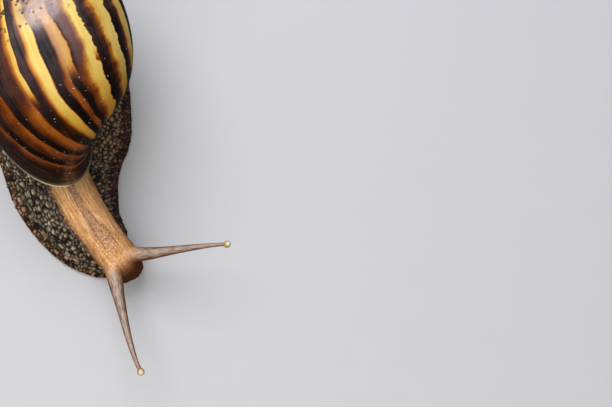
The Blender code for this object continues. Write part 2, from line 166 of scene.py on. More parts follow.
FEELERS = (UPPER_LEFT, UPPER_RIGHT, LOWER_LEFT, LOWER_RIGHT)
FEELER_STEPS = 8
FEELER_SIDES = 24

# Folds of the lips: middle, half length, half width and half height, turned by LIP_TURN.
LIP_LOBES = ((15.9, -16.9, 3.8, 1.7, 1.1, 1.6), (14.9, -18.2, 3.8, 1.7, 1.1, 1.6))
LIP_TURN = -38.0
LOBE_ENDS = 0.98
LOBE_LEVELS = 14
LOBE_SIDES = 24

EYE_RADIUS = 0.85
EYE_REACH = 0.55
EYE_LEVELS = 40
EYE_SIDES = 56
EYE_POLE = 0.02                 # angle from the eye's axis to its first ring
HIGHLIGHT_RISE = 1.1                 # how far the eye's painted highlight, its pale heart, is turned up

TRUNK_FOOT = (-5.0, 22.0, 3.0)
TRUNK_FOOT_SIZE = (15.0, 24.0)
TRUNK_FLARE = 1.7
TRUNK_INSET = 4.2
TRUNK_DEPTH = 0.03
TRUNK_RINGS = 14
MANTLE_INSET = 0.95
MANTLE_RINGS = ((-0.06, 0.0), (-0.03, 0.0), (-0.004, 0.0), (0.011, 0.9), (0.022, 2.6))

# How finely the skin is meshed, and how much its joins are smoothed.
VOXEL = 0.2
RELAX_ROUNDS = round(3.0 / VOXEL**2)
RELAX_PULL = 0.6
RELAX_RETURN = 0.94
FEELER_FIRMNESS = 0.93

# Grains of the skin: size along, across and up, and how high they stand.
LEFT_GRAIN = (1.25, 0.95, 0.95)
RIGHT_GRAIN = (0.9, 1.35, 1.35)
EDGE_GRAIN = (0.72, 2.0, 1.2)
HEAD_GRAIN = (0.75, 0.6, 0.6)
NECK_STREAK = (2.2, 0.42, 0.42)
LEFT_RISE = 0.55
RIGHT_RISE = 0.40
EDGE_RISE = 0.24
HEAD_RISE = 0.12
NECK_RISE = 0.08
WOBBLE_STEPS = 0.5
WOBBLE_REACH = 0.45
WOBBLE_SEED = 7                 # noise_vector takes its seed from the clock without one

# Where one kind of skin fades into the next, each from none of it to all of it.
NECK_START = (5.0, 10.0)        # along the neck's middle line
HEAD_START = (27.0, 33.0)
SNOUT_START = (36.0, 40.0)
NECK_OUT = (1.50, 0.95)         # distance from that line as a share of the neck's size
HEAD_OUT = (1.5, 1.2)
LEAST_NECK = 2.5
NECK_NARROWING = 0.45           # the ochre skin's narrowing, on the neck's left side
NARROWED_SIDE = (-3.0, -5.6)
NECK_BOTTOM = (-3.4, 0.2)       # height over the middle line
HEAD_BOTTOM = (1.6, 3.0)        # height over the floor
FEELER_OUT = (0.9, 0.3)         # distance from the feeler's surface
FEELER_START = (0.5, 5.0)
LEAST_FEELER = 0.05
SOLE_FACING = (-0.5, -0.85)
SOLE_HEIGHT = (0.6, 0.1)
FRINGE_OUT = (0.74, 0.90)       # distance from the foot's middle, as a share of its width
FRINGE_HEIGHT = (4.6, 2.6)
EDGE_OUT = (0.70, 0.86)
EDGE_HEIGHT = (6.0, 4.0)
RIGHT_SIDE = (-3.0, 4.0)
MANTLE_TURNS = (0.034, 0.026)
MANTLE_HEIGHT = (15.0, 18.0)
RAISED_HEIGHT = (0.0, 0.5)


# Vectors and meshes ------------------------------------------------------------

def unit(vectors):
    """Vectors of length one, along the last axis."""
    return vectors / np.maximum(np.linalg.norm(vectors, axis=-1, keepdims=True), 1e-9)


def fade(value, low, high):
    """Smooth step from 0 at low to 1 at high; low may be the larger number."""
    share = np.clip((value - low) / (high - low), 0, 1)
    return share * share * (3 - 2 * share)


def circle(sides):
    """Cosines and sines of equal steps round a circle, as columns."""
    angles = np.linspace(0, 2 * math.pi, sides, endpoint=False)[:, None]
    return np.cos(angles), np.sin(angles)


def cross_axes(along):
    """Level unit vectors across the given ones, and those square to both."""
    side = unit(np.cross(along, UP))
    return side, np.cross(side, along)


def smooth_rows(stations, steps):
    """Rows of numbers on a smooth curve through the stations."""
    rows = np.array(stations, float)
    rows = np.vstack([2 * rows[0] - rows[1], rows, 2 * rows[-1] - rows[-2]])
    t = (np.arange(steps) / steps)[:, None]
    result = []
    for a, b, c, d in zip(rows, rows[1:], rows[2:], rows[3:]):
        result.append(0.5 * (2 * b + (c - a) * t + (2 * a - 5 * b + 4 * c - d) * t**2
                             + (3 * b - a - 3 * c + d) * t**3))
    return np.vstack([*result, rows[-2:-1]])


def path_sides(points):
    """Level unit vectors to the left of a path, one for each of its points."""
    along = np.gradient(points[:, :2], axis=0)
    return unit(np.column_stack([-along[:, 1], along[:, 0], np.zeros(len(along))]))


def loft(rings, hubs=(None, None)):
    """Points and faces of a closed body through rings of equal point counts."""
    rings = np.array(rings, float)
    count, sides = rings.shape[:2]
    index = np.arange(count * sides).reshape(count, sides)
    after = np.roll(index, -1, axis=1)
    quads = np.stack([index[:-1], after[:-1], after[1:], index[1:]], axis=-1).reshape(-1, 4)
    faces = quads.tolist()
    points = [rings.reshape(-1, 3)]
    for place, (row, hub) in enumerate(zip((0, count - 1), hubs)):
        centre = rings[row].mean(axis=0) if hub is None else np.array(hub)
        points.append(centre[None])
        tip = count * sides + place
        fans = np.column_stack([index[row], after[row], np.full(sides, tip)])
        faces += (fans[:, ::-1] if row == 0 else fans).tolist()
    return np.vstack(points), faces


def join(bodies):
    """Several bodies as one set of points and faces."""
    points, faces, offset = [], [], 0
    for body_points, body_faces in bodies:
        points.append(body_points)
        faces += [[corner + offset for corner in face] for face in body_faces]
        offset += len(body_points)
    return np.vstack(points), faces


def mesh_object(name, points, faces):
    mesh = bpy.data.meshes.new(name)
    mesh.from_pydata(points.tolist(), [], faces)
    obj = bpy.data.objects.new(name, mesh)
    bpy.context.scene.collection.objects.link(obj)
    return obj


def read_rows(items, name, width, kind=np.float32):
    """One row of numbers for each point or edge of a mesh."""
    flat = np.zeros(len(items) * width, kind)
    items.foreach_get(name, flat)
    return flat.reshape(-1, width)


def get_points(mesh):
    return read_rows(mesh.vertices, "co", 3).astype(float)


def get_normals(mesh):
    return read_rows(mesh.vertices, "normal", 3).astype(float)


def set_points(mesh, points):
    mesh.vertices.foreach_set("co", points.astype(np.float32).ravel())
    mesh.update()


def set_values(mesh, name, values, domain="POINT"):
    """Store one number for each point or face corner, for the materials to read."""
    layer = mesh.attributes.new(name, "FLOAT", domain)
    layer.data.foreach_set("value", np.asarray(values, np.float32).ravel())


def recalculate_outside(mesh):
    """Turn all faces of a closed mesh outwards."""
    bm = bmesh.new()
    bm.from_mesh(mesh)
    bmesh.ops.recalc_face_normals(bm, faces=bm.faces)
    bm.to_mesh(mesh)
    bm.free()


# Eye places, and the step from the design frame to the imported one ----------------

def eye_axis(stations):
    """Middle of the eye on a feeler's tip, and the way that the feeler points there."""
    root, tip = (np.array(row[:3]) for row in stations[-2:])
    heading = unit(tip - root)
    return tip + heading * EYE_REACH, heading


def design_origin():
    """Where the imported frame's origin lies in the design frame."""
    low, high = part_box("eye_left")
    return eye_axis(UPPER_LEFT)[0] - np.array((low + high) / 2) / MM


ORIGIN = design_origin()


def to_row_frame(obj):
    set_points(obj.data, (get_points(obj.data) - ORIGIN) * MM)


def place(x, y, z):
    """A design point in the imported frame, in metres."""
    return Vector((np.array((x, y, z)) - ORIGIN) * MM)


# Shell -----------------------------------------------------------------------

def shell_axes():
    heading, pitch = math.radians(SHELL_HEADING), math.radians(SHELL_PITCH)
    along = np.array([math.sin(heading) * math.cos(pitch),
                      -math.cos(heading) * math.cos(pitch), math.sin(pitch)])
    top = unit(np.array(UP) - along * along[2])
    side = np.cross(along, top)
    lip = math.radians(LIP_ANGLE)
    towards_lip = top * math.cos(lip) + side * math.sin(lip)
    return towards_lip, np.cross(along, towards_lip), along


AXES = shell_axes()
APEX = np.array(SHELL_BASE) - AXES[2] * SHELL_LENGTH
NEXT_SUTURE = WHORL_GROWTH * SUTURE_HEIGHT


def flank_radius(height):
    drop = (height - WIDEST_HEIGHT) / (1 - WIDEST_HEIGHT)
    return BASE_RADIUS + (WIDEST_RADIUS - BASE_RADIUS) * np.sqrt(1 - drop**2)


SUTURE_RADIUS = flank_radius(NEXT_SUTURE) / WHORL_GROWTH
QUARTER = math.pi / 2
FIRST_FLANK = math.asin((NEXT_SUTURE - WIDEST_HEIGHT) / (1 - WIDEST_HEIGHT)) / QUARTER


def outline_places():
    """Places across a whorl: 0 at the suture, 1 at the widest, 2 at the base, 3 at the axis."""
    shoulder = np.arange(SHOULDER_STEPS) / SHOULDER_STEPS
    flank = 1 + np.linspace(FIRST_FLANK, 1, FLANK_STEPS + 1)
    pillar = 2 + np.arange(1, PILLAR_STEPS + 1) / PILLAR_STEPS
    return np.concatenate([shoulder, flank, pillar])


ACROSS = outline_places()
COLUMNS = len(ACROSS)


def lean(height, turn):
    start = np.clip(1 - turn / LEAN_START, 0, 1)
    drop = np.maximum(height - NEXT_SUTURE, 0) / (1 - NEXT_SUTURE)
    eased = drop * drop * (1 + LEAN_EASE) / (drop + LEAN_EASE)
    return LIP_LEAN * eased * start * start * (3 - 2 * start)


def section(turn, across=ACROSS):
    """Height, radius and angle of a whorl's outline at a turn."""
    growth = WHORL_GROWTH**turn
    shoulder = np.clip(across, 0, 1) * QUARTER
    flank = np.clip(across - 1, 0, 1) * QUARTER
    pillar = np.clip(across - 2, 0, 1) * QUARTER
    narrowing = (WIDEST_RADIUS - SUTURE_RADIUS) * np.cos(shoulder)**SHOULDER_POWER
    fold = PILLAR_HEIGHT / growth
    height = np.select(
        [across < 1, across <= 2],
        [WIDEST_HEIGHT - (WIDEST_HEIGHT - SUTURE_HEIGHT) * np.cos(shoulder),
         WIDEST_HEIGHT + (1 - WIDEST_HEIGHT) * np.sin(flank)],
        fold + (1 - fold) * np.cos(pillar))
    radius = np.select(
        [across < 1, across <= 2],
        [WIDEST_RADIUS - narrowing,
         BASE_RADIUS + (WIDEST_RADIUS - BASE_RADIUS) * np.cos(flank)],
        BASE_RADIUS * (1 - np.sin(pillar)))
    size = growth * SHELL_LENGTH
    return height * size, radius * size, 2 * math.pi * (turn + lean(height, turn))


def shell_points(height, radius, angle):
    across = (AXES[0] * np.cos(angle)[..., None] + AXES[1] * np.sin(angle)[..., None])
    return APEX + AXES[2] * np.asarray(height)[..., None] + across * np.asarray(radius)[..., None]


def point_on_axis(height):
    return shell_points(*(np.array([value]) for value in (height, 0, 0)))


def mouth_ring(turn, inset, wall_inset=None, extras=1.0):
    """Ring round the whorl's inside, drawn in towards the middle of the opening.

    The outer lip is drawn in by inset, and the wall of the whorl before by wall_inset.
    """
    wall_inset = inset if wall_inset is None else wall_inset
    outer = np.array(section(turn))
    inner = np.array(section(turn - 1))[:, SHOULDER_STEPS + 1:-1][:, ::-1]
    inner[2] += 2 * math.pi
    height, radius, angle = np.hstack([outer, inner])
    size = WHORL_GROWTH**turn * SHELL_LENGTH
    middle = np.array(MOUTH_CENTRE) * size
    towards = unit(np.column_stack([middle[0] - height, middle[1] - radius]))
    nearness = np.maximum(0, 1 - (height / size - SUTURE_HEIGHT) / CORNER_REACH)
    closeness = np.maximum(0, 1 - radius / size / PILLAR_REACH)
    depth = np.concatenate([np.full(outer.shape[1], inset), np.full(inner.shape[1], wall_inset)])
    depth = depth + extras * (CORNER_EXTRA * nearness + PILLAR_EXTRA * closeness)
    towards *= depth[:, None]
    return shell_points(height + towards[:, 0], radius + towards[:, 1], angle)


def mouth_hub(turn):
    size = WHORL_GROWTH**turn * SHELL_LENGTH
    height, radius = (np.array(share * size) for share in MOUTH_CENTRE)
    angle = np.array(2 * math.pi * (turn + lean(MOUTH_CENTRE[0], turn)))
    return shell_points(height, radius, angle)


class ShellFaces:
    """Faces with three numbers at each corner, for the shell's material to read."""

    def __init__(self):
        self.faces = []
        self.values = {"turn": [], "across": [], "inside": []}

    def add(self, corners, turns, across, inside):
        self.faces.append([int(corner) for corner in corners])
        self.values["turn"].extend(turns)
        self.values["across"].extend(across)
        self.values["inside"].extend([inside] * len(corners))


def columns_at(step):
    """How many points a step has of its own; the next whorl covers the rest."""
    return SHOULDER_STEPS if step < BODY_START else COLUMNS - 1


def shell_grid(turns):
    """Points of the outside, and the index of each by step and by place across."""
    grid = np.full((LAST_STEP + 1, COLUMNS), -1)
    points = []
    count = 0
    for step, turn in enumerate(turns):
        columns = columns_at(step)
        points.append(shell_points(*section(turn, ACROSS[:columns])))
        grid[step, :columns] = count + np.arange(columns)
        count += columns
    points.append(point_on_axis(PILLAR_HEIGHT * SHELL_LENGTH))
    grid[:BODY_START, SHOULDER_STEPS] = grid[TURN_STEPS:LAST_STEP, 0]
    grid[BODY_START, SHOULDER_STEPS] = grid[LAST_STEP, 0]
    grid[BODY_START:, -1] = count
    return points, grid


def add_whorls(sheet, grid, turns):
    for step, (low, high) in enumerate(zip(turns, turns[1:])):
        for i in range(columns_at(step)):
            corners = [grid[step, i], grid[step + 1, i], grid[step + 1, i + 1], grid[step, i + 1]]
            near, far = ACROSS[i], ACROSS[i + 1]
            if corners[2] == corners[3]:
                sheet.add(corners[:3], (low, high, high), (near, near, far), 0.0)
            else:
                sheet.add(corners, (low, high, high, low), (near, near, far, far), 0.0)


def add_fan(sheet, points, ring, tip, turn, across, inside):
    """Triangles from a ring to one more point."""
    centre = sum(map(len, points))
    points.append(tip)
    for a, b in zip(ring, ring[1:] + ring[:1]):
        sheet.add([a, b, centre], (turn,) * 3, (across,) * 3, inside)


def add_mouth(sheet, points, grid):
    """The thin lip, the wall inside it and a fan that closes it deep in the shell."""
    ring = [*grid[LAST_STEP], *grid[BODY_START, SHOULDER_STEPS + 1:-1][::-1]]
    for turn, share in LIP_RINGS:
        inset = LIP_WALL * share
        inner = mouth_ring(turn, inset, inset * PILLAR_WALL_SHARE, extras=0.0)
        first = sum(map(len, points))
        points.append(inner)
        after = list(range(first, first + len(inner)))
        quads = zip(ring, ring[1:] + ring[:1], after[1:] + after[:1], after)
        for i, corners in enumerate(quads):
            inside = 0.5 + 0.5 * min(share, 1.0) if i < COLUMNS else 1.0
            sheet.add(corners, (turn,) * 4, (1.5,) * 4, inside)
        ring = after
    add_fan(sheet, points, ring, mouth_hub(LIP_RINGS[-1][0])[None], 0.0, 1.5, 1.0)


def make_shell():
    """Thin-lipped spiral shell with growth ridges, its faces first laid inside out."""
    turns = (np.arange(LAST_STEP + 1) - LAST_STEP) / TURN_STEPS
    points, grid = shell_grid(turns)
    sheet = ShellFaces()
    add_whorls(sheet, grid, turns)
    first_ring = [*grid[:TURN_STEPS + 1, 0], *grid[0, 1:SHOULDER_STEPS][::-1]]
    tip_height = TIP_HEIGHT * WHORL_GROWTH**-WHORL_COUNT * SHELL_LENGTH
    add_fan(sheet, points, first_ring, point_on_axis(tip_height), turns[0], 0.5, 0.0)
    add_mouth(sheet, points, grid)

    obj = mesh_object("shell_spiral", np.vstack(points), sheet.faces)
    for name, values in sheet.values.items():
        set_values(obj.data, name, values, "CORNER")
    raise_ridges(obj.data, grid, turns)
    obj.data.flip_normals()
    obj.data.shade_smooth()
    return obj


def raise_ridges(mesh, grid, turns):
    """Growth ridges along the old lips, and a faint waviness across them."""
    points, normals = get_points(mesh), get_normals(mesh)
    amounts = np.zeros(len(points))
    for step, turn in enumerate(turns):
        size = WHORL_GROWTH**turn
        lengthwise = (noise.noise((turn * FINE_RIDGES, 0.0, 0.0))
                      + BROAD_SHARE * noise.noise((turn * BROAD_RIDGES, 7.0, 0.0)))
        for column, across in enumerate(ACROSS):
            index = grid[step, column]
            if index >= 0 and across < RIDGES_END:
                here = (turn * DRIFT_STEPS[0], across * DRIFT_STEPS[1], 3.0)
                amounts[index] = (lengthwise + DRIFT_SHARE * noise.noise(here)) * size
    mouth = fade(np.linalg.norm(points - mouth_hub(0.0), axis=1), *SMOOTH_MOUTH)
    set_points(mesh, points - normals * (amounts * RIDGE_HEIGHT * mouth)[:, None])


# Skin -------------------------------------------------------------------------

def foot_body():
    rows = smooth_rows(FOOT_STATIONS, FOOT_STEPS)
    sides = path_sides(rows)
    back = smooth_rows(FOOT_BACK, BACK_STEPS)
    rings = []
    for (x, y, half_width, height), side in zip(rows, sides):
        margin = min(FOOT_MARGIN, height * THINNEST_MARGIN)
        outline = [(share, margin * rise) for share, rise in FOOT_OUTLINE]
        outline += [(share, margin + (height - margin) * rise) for share, rise in back]
        mirrored = [(-share, z) for share, z in outline[-2::-1]]
        sole = [(share, 0.0) for share in (-0.5, 0.0, 0.5)]
        rings.append([np.array((x, y, z)) + side * (share * half_width)
                      for share, z in outline + mirrored + sole])
    return loft(rings)


def neck_body():
    rows = smooth_rows(NECK_STATIONS, NECK_STEPS)
    cosines, sines = circle(NECK_SIDES)
    return loft([row[:3] + side * (row[3] * cosines) + np.array(UP) * (row[4] * sines)
                 for row, side in zip(rows, path_sides(rows))])


def feeler_body(stations):
    rows = smooth_rows(stations, FEELER_STEPS)
    sides, tops = cross_axes(unit(np.gradient(rows[:, :3], axis=0)))
    cosines, sines = circle(FEELER_SIDES)
    return loft([row[:3] + row[3] * (side * cosines + top * sines)
                 for row, side, top in zip(rows, sides, tops)])


def lobe_body(lobe):
    x, y, z, length, width, height = lobe
    cosines, sines = circle(LOBE_SIDES)
    turn = math.radians(LIP_TURN)
    rings = []
    for share in np.linspace(-LOBE_ENDS, LOBE_ENDS, LOBE_LEVELS):
        spread = math.sqrt(1 - share**2)
        a, b = length * spread * cosines, width * spread * sines
        rings.append(np.hstack([x + a * math.cos(turn) - b * math.sin(turn),
                                y + a * math.sin(turn) + b * math.cos(turn),
                                np.full_like(a, z + height * share)]))
    return loft(rings)


def trunk_body():
    top = mouth_ring(MANTLE_RINGS[-1][0], TRUNK_INSET)
    outwards = unit((top - top.mean(axis=0))[:, :2])
    base = np.array(TRUNK_FOOT) + np.column_stack([outwards * TRUNK_FOOT_SIZE,
                                                   np.zeros(len(top))])
    rings = []
    for rise in np.linspace(0, 1, TRUNK_RINGS):
        spread = 1 - (1 - rise)**TRUNK_FLARE
        ring = base + (top - base) * spread
        ring[:, 2] = base[:, 2] + (top[:, 2] - base[:, 2]) * rise
        rings.append(ring)
    rings.append(mouth_ring(-TRUNK_DEPTH, TRUNK_INSET))
    return loft(rings, (None, mouth_hub(-TRUNK_DEPTH)))


def mantle_body():
    rings = [mouth_ring(turn, MANTLE_INSET + extra) for turn, extra in MANTLE_RINGS]
    return loft(rings, (mouth_hub(MANTLE_RINGS[0][0]), mouth_hub(MANTLE_RINGS[-1][0])))


def remeshed(obj, voxel):
    """One closed skin round everything in the object."""
    modifier = obj.modifiers.new("one_skin", "REMESH")
    modifier.mode = "VOXEL"
    modifier.voxel_size = voxel
    graph = bpy.context.evaluated_depsgraph_get()
    mesh = bpy.data.meshes.new_from_object(obj.evaluated_get(graph))
    obj.modifiers.clear()
    obj.data = mesh


def relaxed(points, edges, strength, rounds):
    """Points drawn towards the middle of their neighbours, without much shrinking."""
    a, b = edges.T
    size = len(points)
    degree = np.bincount(a, minlength=size) + np.bincount(b, minlength=size)
    for step in range(rounds * 2):
        total = np.zeros_like(points)
        for axis in range(points.shape[1]):
            total[:, axis] = (np.bincount(a, points[b, axis], size)
                              + np.bincount(b, points[a, axis], size))
        pull = strength if step % 2 == 0 else -strength * RELAX_RETURN
        points = points + (total / degree[:, None] - points) * pull[:, None]
    return points


def nearest_on_path(points, rows):
    """For each point: the path's row there, its place along it, and the way to the point."""
    best = np.full(len(points), np.inf)
    row_there = np.zeros((len(points), rows.shape[1]))
    along = np.zeros(len(points))
    heading = np.zeros((len(points), 3))
    travelled = 0.0
    for start, end in zip(rows, rows[1:]):
        step = end[:3] - start[:3]
        length = np.linalg.norm(step)
        share = np.clip((points - start[:3]) @ step / length**2, 0, 1)
        here = start + share[:, None] * (end - start)
        distance = np.linalg.norm(points - here[:, :3], axis=1)
        closer = distance < best
        best = np.where(closer, distance, best)
        row_there[closer] = here[closer]
        along[closer] = travelled + share[closer] * length
        heading[closer] = step / length
        travelled += length
    return row_there, along, points - row_there[:, :3], heading


def sampled(field, points):
    """Numbers from one of Blender's noise functions, for many points."""
    return np.array([field(point) for point in points.tolist()])


def grains_in(cells, groove=0.04, crest=0.75):
    """1 on the middle of each grain and 0 in the grooves between them."""
    nearest = np.array([noise.voronoi(cell)[0][:2] for cell in cells.tolist()])
    return fade(nearest[:, 1] - nearest[:, 0], groove, crest)


def foot_place(points):
    """Way along the foot, to its right, and distance as a share of its half width."""
    rows = smooth_rows(FOOT_STATIONS, 4)
    path = np.column_stack([rows[:, :2], np.zeros(len(rows)), rows[:, 2:]])
    row, along, offset, heading = nearest_on_path(points * (1, 1, 0), path)
    across = np.sum(offset * np.cross(UP, heading), axis=1)
    share = np.linalg.norm(offset, axis=1) / np.maximum(row[:, 3], 0.5)
    return along, across, share


def neck_place(points):
    """Way along the neck, to its right, above its middle, and how far out it is."""
    row, along, offset, heading = nearest_on_path(points, smooth_rows(NECK_STATIONS, 4))
    side = unit(np.cross(UP, heading * (1, 1, 0)))
    across = np.sum(offset * side, axis=1)
    rise = offset[:, 2]
    past_end = np.sum(offset * heading, axis=1)
    out = np.hypot(np.hypot(across, past_end) / np.maximum(row[:, 3], LEAST_NECK),
                   rise / np.maximum(row[:, 4], LEAST_NECK))
    return along, across, rise, out


def feeler_place(points):
    """How much each point is feeler, its way along it, and where it faces there."""
    feeler, feeler_along, feeler_top, feeler_side = np.zeros((4, len(points)))
    for stations in FEELERS:
        row, along, offset, heading = nearest_on_path(points, smooth_rows(stations, 6))
        distance = np.linalg.norm(offset, axis=1)
        near = fade(distance - row[:, 3], *FEELER_OUT) * fade(along, *FEELER_START)
        outwards = offset / np.maximum(distance, LEAST_FEELER)[:, None]
        sideways = np.sum(outwards * unit(np.cross(UP, heading)), axis=1)
        closer = near > feeler
        feeler_along[closer] = along[closer]
        feeler_top[closer] = outwards[closer, 2]
        feeler_side[closer] = sideways[closer]
        feeler = np.maximum(feeler, near)
    return feeler, feeler_along, feeler_top, feeler_side


def turns_past_lip(points):
    """How far past the shell's lip each point lies, in turns round the shell's axis."""
    offset = points - APEX
    return np.arctan2(offset @ AXES[1], offset @ AXES[0]) / (2 * math.pi)


def make_skin():
    """One skin over the foot, trunk, mantle, neck, head and feelers."""
    bodies = [foot_body(), trunk_body(), mantle_body(), neck_body()]
    bodies += [lobe_body(lobe) for lobe in LIP_LOBES]
    bodies += [feeler_body(stations) for stations in FEELERS]
    obj = mesh_object("snail_skin", *join(bodies))
    obj.data.validate()
    recalculate_outside(obj.data)
    remeshed(obj, VOXEL)
    mesh = obj.data
    points = get_points(mesh)
    feeler, feeler_along, feeler_top, feeler_side = feeler_place(points)
    edges = read_rows(mesh.edges, "vertices", 2, np.int32)
    points = relaxed(points, edges, RELAX_PULL * (1 - FEELER_FIRMNESS * feeler), RELAX_ROUNDS)
    set_points(mesh, points)
    for name, values in (("feeler", feeler), ("feeler_along", feeler_along),
                         ("feeler_top", feeler_top), ("feeler_side", feeler_side)):
        set_values(mesh, name, values)
    paint_and_grain(mesh, points, feeler)
    mesh.shade_smooth()
    return obj


def paint_and_grain(mesh, points, feeler):
    """Raise the skin's grains and store the places where its colours change."""
    normals = get_normals(mesh)
    height = points[:, 2]
    foot_along, foot_across, share = foot_place(points)
    neck_along, neck_across, rise, out = neck_place(points)

    head = fade(neck_along, *HEAD_START)
    narrowing = NECK_NARROWING * fade(neck_across, *NARROWED_SIDE)
    neck = (fade(out + narrowing, *NECK_OUT) * fade(rise, *NECK_BOTTOM)
            * fade(neck_along, *NECK_START))
    neck = np.maximum(neck, head * fade(out, *HEAD_OUT) * fade(height, *HEAD_BOTTOM))
    neck = np.maximum(neck, feeler)
    sole = fade(normals[:, 2], *SOLE_FACING) * fade(height, *SOLE_HEIGHT)
    fringe = fade(share, *FRINGE_OUT) * fade(height, *FRINGE_HEIGHT) * (1 - neck)
    mantle = (fade(turns_past_lip(points), *MANTLE_TURNS) * fade(height, *MANTLE_HEIGHT)
              * (1 - neck))

    cells = np.column_stack([foot_along, foot_across, height])
    noise.seed_set(WOBBLE_SEED)
    cells = cells + sampled(noise.noise_vector, cells * WOBBLE_STEPS) * WOBBLE_REACH
    left, right, edge = (grains_in(cells / size) for size in (LEFT_GRAIN, RIGHT_GRAIN, EDGE_GRAIN))
    rightness = fade(foot_across, *RIGHT_SIDE)
    edgeness = fade(share, *EDGE_OUT) * fade(height, *EDGE_HEIGHT)
    grains = left * (1 - rightness) + right * rightness
    grains = grains * (1 - edgeness) + edge * edgeness
    grain_height = LEFT_RISE * (1 - rightness) + RIGHT_RISE * rightness
    grain_height = grain_height * (1 - edgeness) + EDGE_RISE * edgeness

    neck_cells = np.column_stack([neck_along, neck_across, rise])
    streaks = sampled(noise.noise, neck_cells / NECK_STREAK)
    head_grains = grains_in(neck_cells / HEAD_GRAIN, 0.0, 0.5)

    raised = (1 - neck) * (1 - sole) * (1 - mantle) * grain_height * (grains - 0.5)
    raised += neck * (1 - feeler) * (1 - head) * NECK_RISE * streaks
    raised += neck * (1 - feeler) * head * HEAD_RISE * (head_grains - 0.5)
    raised *= fade(height, *RAISED_HEIGHT)
    points = points + normals * raised[:, None]
    points[:, 2] = np.where(sole > 0.5, 0.0, np.maximum(points[:, 2], 0.0))
    set_points(mesh, points)

    for name, values in (("neck", neck), ("head", head), ("snout", fade(neck_along, *SNOUT_START)),
                         ("fringe", fringe), ("sole", sole), ("mantle", mantle),
                         ("grains", grains), ("head_grains", head_grains),
                         ("neck_along", neck_along), ("neck_across", neck_across),
                         ("neck_rise", rise), ("foot_across", foot_across),
                         ("foot_along", foot_along)):
        set_values(mesh, name, values)


# Node trees -------------------------------------------------------------------

# A Mix node's colour sockets share their names with others, so they go by their places.
MIX_LOW, MIX_HIGH, MIX_RESULT = 6, 7, 2
BUMP_STRENGTH = 0.8


def colour(hex_code):
    """Linear colour from the usual two digits each for red, green and blue."""
    values = [int(hex_code[i:i + 2], 16) / 255 for i in (0, 2, 4)]
    return tuple(v / 12.92 if v <= 0.04045 else ((v + 0.055) / 1.055)**2.4 for v in values) + (1.0,)


def new_material(name):
    material = bpy.data.materials.new(name)
    material.use_nodes = True
    return material, material.node_tree, material.node_tree.nodes["Principled BSDF"]


def add(tree, kind, **settings):
    node = tree.nodes.new(kind)
    for key, value in settings.items():
        setattr(node, key, value)
    return node


def feed(tree, socket, value):
    """Link a socket to an input, or set a plain number or a colour's digits on it."""
    if isinstance(value, bpy.types.NodeSocket):
        tree.links.new(value, socket)
    else:
        socket.default_value = colour(value) if isinstance(value, str) else value


def feed_all(tree, sockets, values):
    for socket, value in zip(sockets, values):
        feed(tree, socket, value)


def calc(tree, operation, *values):
    node = add(tree, "ShaderNodeMath", operation=operation)
    feed_all(tree, node.inputs, values)
    return node.outputs[0]


def times(tree, first, second):
    return calc(tree, "MULTIPLY", first, second)


def gap(tree, value, middle):
    """How far a value is from a middle, on either side."""
    return calc(tree, "ABSOLUTE", calc(tree, "SUBTRACT", value, middle))


def swing(tree, noise_value, amount):
    """Noise from 0 to 1, set about zero and multiplied by an amount."""
    return times(tree, calc(tree, "SUBTRACT", noise_value, 0.5), amount)


def value_of(tree, name):
    return add(tree, "ShaderNodeAttribute", attribute_name=name).outputs["Fac"]


def blend(tree, share, low, high):
    """Colour mixed from low at 0 to high at 1."""
    node = add(tree, "ShaderNodeMix", data_type="RGBA")
    feed(tree, node.inputs["Factor"], share)
    feed(tree, node.inputs[MIX_LOW], low)
    feed(tree, node.inputs[MIX_HIGH], high)
    return node.outputs[MIX_RESULT]


def stretch(tree, value, low, high, to_low=0.0, to_high=1.0):
    """Smooth step of a value from one range to another."""
    node = add(tree, "ShaderNodeMapRange", interpolation_type="SMOOTHSTEP")
    feed_all(tree, node.inputs, (value, low, high, to_low, to_high))
    return node.outputs[0]


def ramp(tree, value, stops):
    """Colours or greys at places from 0 to 1."""
    node = add(tree, "ShaderNodeValToRGB")
    elements = node.color_ramp.elements
    while len(elements) < len(stops):
        elements.new(1.0)
    for element, (position, shade) in zip(elements, stops):
        element.position = position
        element.color = colour(shade) if isinstance(shade, str) else (shade, shade, shade, 1.0)
    feed(tree, node.inputs[0], value)
    return node.outputs[0]


def noise_at(tree, where, scale, detail=2.0, roughness=0.5):
    node = add(tree, "ShaderNodeTexNoise")
    for name, value in (("Vector", where), ("Scale", scale), ("Detail", detail),
                        ("Roughness", roughness)):
        feed(tree, node.inputs[name], value)
    return node.outputs["Fac"]


def streaks_at(tree, x, x_steps, y, y_steps, detail=2.0, roughness=0.5):
    """Noise over two values, with so many steps to each unit of them."""
    where = add(tree, "ShaderNodeCombineXYZ")
    feed_all(tree, where.inputs, (times(tree, x, x_steps), times(tree, y, y_steps)))
    return noise_at(tree, where.outputs[0], 1.0, detail, roughness)


def cell_distance(tree, where, scale):
    """Distance from the middle of each of many scattered cells."""
    node = add(tree, "ShaderNodeTexVoronoi")
    feed(tree, node.inputs["Vector"], where)
    feed(tree, node.inputs["Scale"], scale)
    return node.outputs["Distance"]


def bump(tree, height, distance):
    node = add(tree, "ShaderNodeBump")
    feed(tree, node.inputs["Height"], height)
    node.inputs["Distance"].default_value = distance
    node.inputs["Strength"].default_value = BUMP_STRENGTH
    return node.outputs["Normal"]


